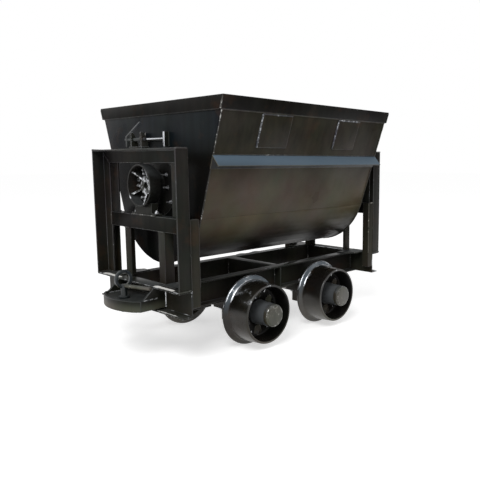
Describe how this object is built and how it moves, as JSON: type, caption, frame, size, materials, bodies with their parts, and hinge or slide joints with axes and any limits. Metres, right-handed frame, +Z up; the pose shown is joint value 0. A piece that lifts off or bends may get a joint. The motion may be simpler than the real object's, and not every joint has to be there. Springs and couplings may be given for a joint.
{
  "type": "ore cart",
  "caption": "Side-tipping mine ore cart: round-bottomed open steel tub on end trunnions, welded channel underframe with angle portals, flanged rail wheels and pin-coupled bumpers.",
  "frame": {"origin": "centre of the bounding box in X and Y, at the bottom of the wheel flanges", "axes": "+X along the track, towards the rear end; +Y across the track, towards the right side; +Z up"},
  "size_m": [1.77, 1.0346, 1.2199],
  "materials": {
    "black_paint": "gloss",
    "cast_wheel": "painted, treads and flanges worn bright",
    "axle_steel": "dull"
  },
  "bodies": {
    "frame": {"sill_left": "black_paint", "sill_right": "black_paint", "cross_member": "black_paint", "corner_plates": "black_paint", "rail_stops": "black_paint", "coupling_pin": "black_paint", "end_beam_front": "black_paint", "portal_uprights_front": "black_paint", "portal_top_beam_front": "black_paint", "cradle_rail_front": "black_paint", "cradle_posts_front": "black_paint", "cradle_saddle_front": "black_paint", "bumper_front": "black_paint", "lock_bracket_front": "black_paint", "lock_lever_front": "black_paint", "axle_boxes_front": "black_paint", "end_beam_rear": "black_paint", "portal_uprights_rear": "black_paint", "portal_top_beam_rear": "black_paint", "cradle_rail_rear": "black_paint", "cradle_posts_rear": "black_paint", "cradle_saddle_rear": "black_paint", "bumper_rear": "black_paint", "lock_bracket_rear": "black_paint", "lock_lever_rear": "black_paint", "axle_boxes_rear": "black_paint"},
    "tub": {"tub_side_left": "black_paint", "tub_side_right": "black_paint", "tub_bottom": "black_paint", "rim_band": "black_paint", "side_ledges": "black_paint", "patch_plates": "black_paint", "keepers": "black_paint", "tub_end_front": "black_paint", "trunnion_front": "black_paint", "tub_end_rear": "black_paint", "trunnion_rear": "black_paint"},
    "wheelset_front": {"axle_front": "axle_steel", "wheel_front_left": "cast_wheel", "wheel_front_right": "cast_wheel", "hub_caps_front": "cast_wheel"},
    "wheelset_rear": {"axle_rear": "axle_steel", "wheel_rear_left": "cast_wheel", "wheel_rear_right": "cast_wheel", "hub_caps_rear": "cast_wheel"}
  },
  "joints": [
    {"name": "tub_tip", "type": "hinge", "parent": "frame", "child": "tub", "pos_m": [0, 0, 0.824], "axis": [1, 0, 0], "range_deg": [-70, 70]},
    {"name": "wheelset_front_spin", "type": "hinge", "parent": "frame", "child": "wheelset_front", "pos_m": [-0.27, 0, 0.18], "axis": [0, 1, 0], "continuous": true},
    {"name": "wheelset_rear_spin", "type": "hinge", "parent": "frame", "child": "wheelset_rear", "pos_m": [0.27, 0, 0.18], "axis": [0, 1, 0], "continuous": true}
  ]
}
